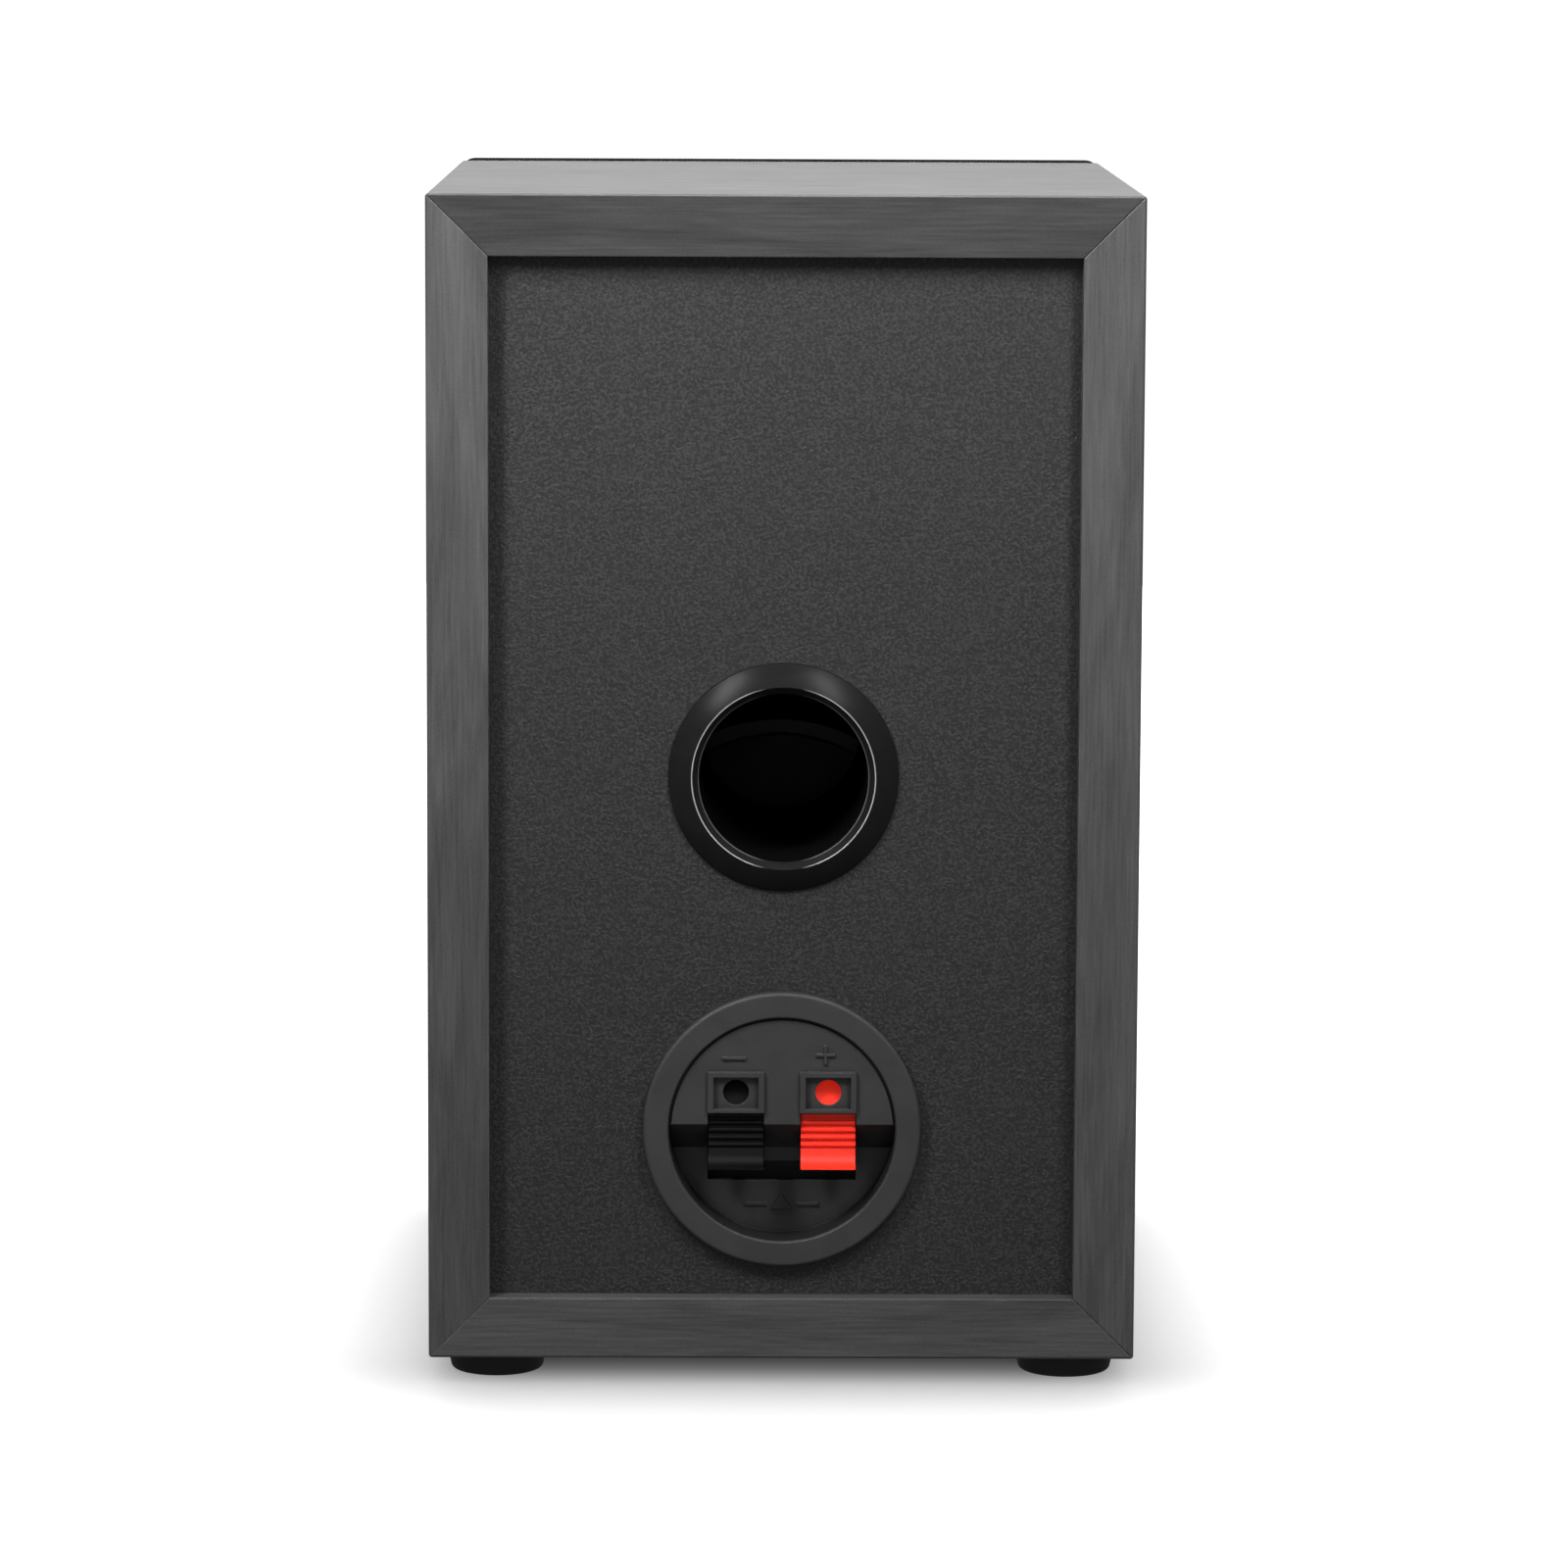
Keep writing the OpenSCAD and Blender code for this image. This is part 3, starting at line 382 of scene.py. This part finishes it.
def stone(name, colour, gloss, grains):
    """A sintered or cast block: dark ferrite, pale cement."""
    s = Shader(name)
    grit = s.noise(grains, detail=5, roughness=0.7)
    s.principled(
        Base_Color=s.mix(s.ramp(grit, (0.35, 0.0), (0.7, 1.0)), times(colour, 0.6), colour),
        Roughness=s.math("ADD", gloss, s.scaled(grit, 0.2)),
        Normal=s.bump(grit, 0.05 * MM, s.rounded(0.4 * MM)),
    )
    return s.material


def fibre(name, colour, gloss, scale, sheen=0.0):
    """Paper, pressed cloth or wadding: tangled fibres."""
    s = Shader(name)
    tangle = s.noise(scale, detail=6, roughness=0.7, distortion=1.5)
    s.principled(
        Base_Color=s.mix(s.ramp(tangle, (0.35, 0.0), (0.65, 1.0)), times(colour, 0.55), colour),
        Roughness=s.ramp(tangle, (0.3, gloss), (0.7, min(1.0, gloss + 0.15))),
        Normal=s.bump(tangle, 0.08 * MM),
        Sheen_Weight=sheen,
        Sheen_Roughness=0.5,
    )
    return s.material


def windings(name, along):
    """Enamelled copper wire wound in close turns along an axis."""
    s = Shader(name)
    turns = s.node("TexWave", {
        "Vector": s.place(), "Scale": 260.0, "Distortion": 0.4, "Detail": 1.0, "Detail Scale": 2.0,
    }, wave_type="BANDS", bands_direction="XYZ"[along]).outputs["Fac"]
    varnish = s.noise(200, detail=3)
    s.principled(
        Base_Color=s.mix(varnish, (0.5, 0.17, 0.06), (0.75, 0.3, 0.12)),
        Metallic=0.8,
        Roughness=s.ramp(turns, (0.0, 0.5), (1.0, 0.26)),
        Normal=s.bump(turns, 0.12 * MM),
    )
    return s.material


def speaker_cloth(name):
    """Black knitted grille cloth: columns of loops 0.75 mm apart, slightly fuzzy."""
    s = Shader(name)
    loop = 0.75 * MM
    across, deep, upright = [
        s.math("SINE", s.scaled(s.coordinate(axis, s.place()), 2 * math.pi / loop)) for axis in "XYZ"
    ]
    knit = s.math("MULTIPLY", across, upright)
    knit = s.math("MULTIPLY", knit, s.math("ADD", s.math("ABSOLUTE", deep), 0.4))
    fuzz = s.noise(3500, detail=3)
    drift = s.noise(30, detail=3)
    thread = s.math("ADD", s.scaled(knit, 0.5), s.scaled(fuzz, 0.6))
    s.principled(
        Base_Color=s.mix(
            s.ramp(drift, (0.3, 0.3), (0.7, 0.7)),
            s.ramp(thread, (0.1, 0.004), (0.75, 0.022)),
            s.ramp(thread, (0.1, 0.006), (0.75, 0.032)),
        ),
        Roughness=s.ramp(fuzz, (0.3, 0.8), (0.7, 0.95)),
        Normal=s.bump(thread, 0.14 * MM),
        Specular_IOR_Level=0.02,
        Sheen_Weight=0.05,
        Sheen_Roughness=0.4,
    )
    return s.material


def silk(name):
    """A coated silk dome, with a fine weave under a soft satin coat."""
    s = Shader(name)
    weave = s.cells(3200)
    drift = s.noise(120, detail=3)
    s.principled(
        Base_Color=s.mix(drift, (0.008, 0.008, 0.009), (0.02, 0.02, 0.022)),
        Roughness=s.math("ADD", 0.34, s.scaled(drift, 0.15)),
        Normal=s.bump(weave, 0.03 * MM),
    )
    return s.material


def circuit_board(name):
    """Green solder resist over copper tracks."""
    s = Shader(name)
    tracks = s.ramp(s.cells(110, feature="DISTANCE_TO_EDGE"), (0.05, 1.0), (0.09, 0.0))
    haze = s.noise(300, detail=3)
    s.principled(
        Base_Color=s.mix(tracks, (0.015, 0.11, 0.04), (0.05, 0.22, 0.08)),
        Roughness=s.math("ADD", 0.28, s.scaled(haze, 0.12)),
        Normal=s.bump(tracks, 0.03 * MM, s.rounded(0.1 * MM)),
    )
    return s.material


def pale_floor(name):
    """A plain pale studio floor, lit by its own glow, which fades towards the speaker and in under it as a
    painted contact shadow.
    """
    s = Shader(name)
    reach_under = 20 * MM
    half_w, half_d = cad_box[1][0] - reach_under, cad_box[1][1] - reach_under
    # Each stop is a distance in metres, from a line that lies reach_under inside the speaker's outline; the
    # low stops near the speaker are a painted contact shadow
    glow = s.ramp(
        s.outside(half_w, half_d),
        (0.0, 0.05), (0.008, 0.13), (0.02, 0.38), (0.03, 0.57), (0.044, 0.8), (0.07, 1.05), (0.9, 1.4),
    )
    s.principled(Base_Color=grey(0.86), Roughness=0.7, Emission_Color=glow, Emission_Strength=1.0)
    return s.material


def paint_nodes():
    """Gives every CAD node a procedural material, by its name or its slot; returns the materials by slot."""
    boards = {
        "cabinet_left": woodgrain("woodgrain_left", 2),
        "cabinet_right": woodgrain("woodgrain_right", 2),
        # The top board is darker as painted shade, for the light from above that falls on it
        "cabinet_top": woodgrain("woodgrain_top", 0, tone=0.62, shine=0.26),
        "cabinet_bottom": woodgrain("woodgrain_bottom", 0),
    }
    blacked = metal("blacked_steel", (0.012, 0.012, 0.013), 0.42)
    plates = ("woofer_top_plate", "woofer_yoke", "tweeter_top_plate", "tweeter_yoke")
    by_node = {**boards, **dict.fromkeys(plates, blacked)}
    by_slot = {
        "panel_vinyl": pebbled("pebbled_panel", 0.0071),
        "port_plastic": port_plastic("port_plastic"),
        "cup_plastic": moulded(
            "cup_plastic", (0.024, 0.024, 0.024), 0.55, texture=1800, depth=0.04, shine=0.35,
            recess=4, shade=pocket_wall_shade,
        ),
        "lever_black_plastic": moulded("lever_black", (0.002, 0.002, 0.002), 0.34, edge=0.2, shine=0.12),
        "lever_red_plastic": lever_plastic("lever_red", (0.8, 0.022, 0.008), "push_lever_red"),
        "rubber": moulded(
            "rubber", (0.008, 0.008, 0.008), 0.62, texture=1800, depth=0.02, edge=0.4, shine=0.3,
        ),
        "foam": stone("foam", (0.02, 0.02, 0.02), 0.8, 2400),
        "steel": metal("plated_steel", (0.55, 0.55, 0.57), 0.28),
        "basket_paint": moulded("basket_paint", (0.012, 0.012, 0.012), 0.38),
        "brass": metal("brass", (0.72, 0.55, 0.25), 0.24, brushed_along=1),
        "board": circuit_board("circuit_board"),
        "dark_plastic": moulded("dark_plastic", (0.012, 0.012, 0.012), 0.42),
        "copper": windings("windings", 2),
        "film": moulded("film", (0.62, 0.44, 0.07), 0.22, light=1.2),
        "cement": stone("cement", (0.72, 0.7, 0.65), 0.7, 900),
        "ferrite": stone("ferrite", (0.015, 0.015, 0.017), 0.5, 1600),
        "paper": fibre("cone_paper", (0.02, 0.02, 0.02), 0.6, 900),
        "former": fibre("former_paper", (0.4, 0.25, 0.12), 0.5, 1200),
        "spider_cloth": fibre("spider_cloth", (0.5, 0.33, 0.13), 0.65, 1500),
        "silk": silk("coated_silk"),
        "wire_black": moulded("wire_insulation", (0.02, 0.006, 0.006), 0.36),
        "grille_cloth": speaker_cloth("speaker_cloth"),
        "wadding": fibre("wadding", (0.82, 0.82, 0.8), 0.85, 700, sheen=0.5),
    }
    slots = {part["node"]: part["material_slot"] for part in frame["record"]["subparts"]}
    for name, piece in frame["nodes"].items():
        piece.data.materials.clear()
        piece.data.materials.append(by_node.get(name) or by_slot[slots[name]])
    return by_slot


# ---------- Pieces ----------

def add_piece(name, mesh, material):
    """A smooth-shaded object of one material."""
    piece = bpy.data.objects.new(name, mesh)
    bpy.context.scene.collection.objects.link(piece)
    mesh.materials.append(material)
    for polygon in mesh.polygons:
        polygon.use_smooth = True
    return piece


def rounded_outline(half_w, half_h, radius):
    """Points round a rectangle with round corners, always as many, so that two outlines can be joined."""
    corner_steps = 8
    side_steps = 16
    corners = []
    for quarter, (side, end) in enumerate(((1, 1), (-1, 1), (-1, -1), (1, -1))):
        centre = Vector((side * (half_w - radius), end * (half_h - radius)))
        for i in range(corner_steps + 1):
            angle = math.radians(90 * quarter + 90 * i / corner_steps)
            corners.append(centre + radius * Vector((math.cos(angle), math.sin(angle))))
    outline = []
    for i, point in enumerate(corners):
        outline.append(point)
        if i % (corner_steps + 1) == corner_steps:
            next_corner = corners[(i + 1) % len(corners)]
            outline += [point.lerp(next_corner, k / side_steps) for k in range(1, side_steps)]
    return outline


def grille_fabric(material):
    """The grille's cloth: stretched over the frame's face, round its front edge and back along its sides."""
    low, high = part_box("grille_cloth")
    centre = (low + high) / 2
    half_w, half_h = (high.x - low.x) / 2, (high.z - low.z) / 2
    front, back = low.y, high.y
    fold = 2.2 * MM
    fold_steps = 5
    corner = 3.4
    least_corner = 0.6
    # (distance in from the outside, y, corner radius in mm) for each ring, from the back edge to the middle
    rings = [(0.0, back, corner), (0.0, back - 3 * MM, corner), (0.0, front + fold, corner)]
    for i in range(1, fold_steps + 1):
        angle = math.radians(90 * i / fold_steps)
        rings.append((fold * (1 - math.cos(angle)), front + fold * (1 - math.sin(angle)), corner))
    rings += [(d * MM, front, max(least_corner, corner - d / 4)) for d in (6, 12, 20, 32, 45, 60, 73)]
    mesh = bpy.data.meshes.new("grille_fabric")
    made = bmesh.new()
    loops = []
    for inset, y, radius in rings:
        most_radius = half_w - inset - 0.01 * MM
        outline = rounded_outline(half_w - inset, half_h - inset, min(radius * MM, most_radius))
        loops.append([made.verts.new((centre.x + p.x, y, centre.z + p.y)) for p in outline])
    for outer, inner in zip(loops, loops[1:]):
        for i in range(len(outer)):
            following = (i + 1) % len(outer)
            made.faces.new((outer[i], outer[following], inner[following], inner[i]))
    made.faces.new(loops[-1])
    bmesh.ops.recalc_face_normals(made, faces=made.faces)
    made.to_mesh(mesh)
    made.free()
    piece = add_piece("grille_fabric", mesh, material)
    thickness = piece.modifiers.new("thickness", "SOLIDIFY")
    thickness.thickness = 0.36 * MM
    thickness.offset = -1
    return piece


def wadding_pad(name, node, material):
    """A pad of polyester wadding in its CAD solid's space: crowned, with soft lumps and eased corners."""
    low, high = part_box(node)
    middle = (low + high) / 2
    size = high - low
    thin = min(range(3), key=lambda axis: size[axis])
    crown_drop = 0.32
    lumps_per_half = 3.1
    lump_height = 0.09
    side_pinch = 0.025
    side_ripple = 0.01
    made = bmesh.new()
    bmesh.ops.create_cube(made, size=1)
    bmesh.ops.subdivide_edges(made, edges=made.edges[:], cuts=11, use_grid_fill=True)
    for vert in made.verts:
        unit = vert.co * 2
        flat = [abs(unit[axis]) for axis in range(3) if axis != thin]
        crown = 1 - crown_drop * max(flat) ** 4
        lump = noise.noise(Vector(unit) * lumps_per_half + Vector((len(node), 0, 0)))
        place = [unit[axis] * 0.98 for axis in range(3)]
        place[thin] = unit[thin] * crown * (0.9 + lump_height * lump)
        for axis in range(3):
            if axis != thin:
                place[axis] *= 1 - side_pinch * abs(unit[thin]) ** 2 + side_ripple * lump
        vert.co = [middle[axis] + place[axis] * size[axis] / 2 for axis in range(3)]
    mesh = bpy.data.meshes.new(name)
    made.to_mesh(mesh)
    made.free()
    piece = add_piece(name, mesh, material)
    smooth = piece.modifiers.new("smooth", "SUBSURF")
    smooth.levels = smooth.render_levels = 1
    return piece


def soft_pieces(by_slot):
    """The pieces that stand for the soft CAD solids, each riding on the body of its solid."""
    fabric = grille_fabric(by_slot["grille_cloth"])
    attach(fabric, "grille")
    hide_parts("grille_cloth")
    for place in ("top", "left", "right"):
        node = f"damping_pad_{place}"
        pad = wadding_pad(f"wadding_{place}", node, by_slot["wadding"])
        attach(pad, "cabinet")
        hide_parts(node)


# ---------- Studio ----------

def soft_light(name, place, target, size, power, keep_off=None):
    """A rectangular soft light that the camera doesn't see, kept off one object if that is asked."""
    data = bpy.data.lights.new(name, "AREA")
    data.shape = "RECTANGLE"
    data.size, data.size_y = size
    data.energy = power
    light = bpy.data.objects.new(name, data)
    light.location = place
    light.visible_camera = False
    if keep_off:
        flag = bpy.data.collections.new(name + "_keeps_off")
        flag.objects.link(keep_off)
        flag.collection_objects[0].light_linking.link_state = "EXCLUDE"
        light.light_linking.receiver_collection = flag
    light.rotation_euler = (Vector(target) - Vector(place)).to_track_quat("-Z", "Y").to_euler()
    bpy.context.scene.collection.objects.link(light)


def make_floor():
    """A round pale floor that doesn't light the speaker; past its edge the white background shows."""
    made = bmesh.new()
    bmesh.ops.create_circle(made, cap_ends=True, segments=96, radius=1.5)
    mesh = bpy.data.meshes.new("floor")
    made.to_mesh(mesh)
    made.free()
    floor = bpy.data.objects.new("floor", mesh)
    bpy.context.scene.collection.objects.link(floor)
    mesh.materials.append(pale_floor("pale_floor"))
    floor.visible_diffuse = False
    floor.visible_glossy = False
    return floor


def make_world():
    """A white background for the camera, and a dim room for the light that falls on the speaker."""
    world = bpy.data.worlds.new("studio")
    world.use_nodes = True
    tree = world.node_tree
    dim = tree.nodes["Background"]
    dim.inputs["Color"].default_value = grey(1.0)
    dim.inputs["Strength"].default_value = 0.2
    white = tree.nodes.new("ShaderNodeBackground")
    white.inputs["Color"].default_value = grey(1.0)
    white.inputs["Strength"].default_value = 1.1
    path = tree.nodes.new("ShaderNodeLightPath")
    mix = tree.nodes.new("ShaderNodeMixShader")
    tree.links.new(path.outputs["Is Camera Ray"], mix.inputs["Fac"])
    tree.links.new(dim.outputs[0], mix.inputs[1])
    tree.links.new(white.outputs[0], mix.inputs[2])
    tree.links.new(mix.outputs[0], tree.nodes["World Output"].inputs["Surface"])
    bpy.context.scene.world = world


def make_studio():
    """The floor, the background and the lights, shown with plain display colours."""
    floor = make_floor()
    make_world()
    # Name, place, target, size and power of each light; left, right and front are as the camera sees them
    soft_light("overhead", (0, 0, 1.4), (0, 0, 0), (2.4, 2.4), 14, keep_off=floor)
    soft_light("top", (0, -0.01, 1.6), (0, -0.01, 0), (0.26, 0.26), 25, keep_off=floor)
    soft_light("backdrop", (0, -1.7, 0.7), (0, 0, 0.2), (2.6, 1.3), 20)
    soft_light("left_box", (0.22, 0.32, 0.43), (0.02, 0.09, 0.2), (0.08, 0.18), 2.3, keep_off=floor)
    soft_light("right_box", (-0.17, 0.34, 0.43), (-0.02, 0.09, 0.2), (0.08, 0.18), 1.55, keep_off=floor)
    soft_light("front_fill", (0.05, 1.3, 0.3), (0, 0.09, 0.1), (0.5, 0.5), 1.3, keep_off=floor)
    bpy.context.scene.view_settings.view_transform = "Standard"
    bpy.context.scene.view_settings.look = "None"


make_camera()
materials = paint_nodes()
soft_pieces(materials)
make_studio()
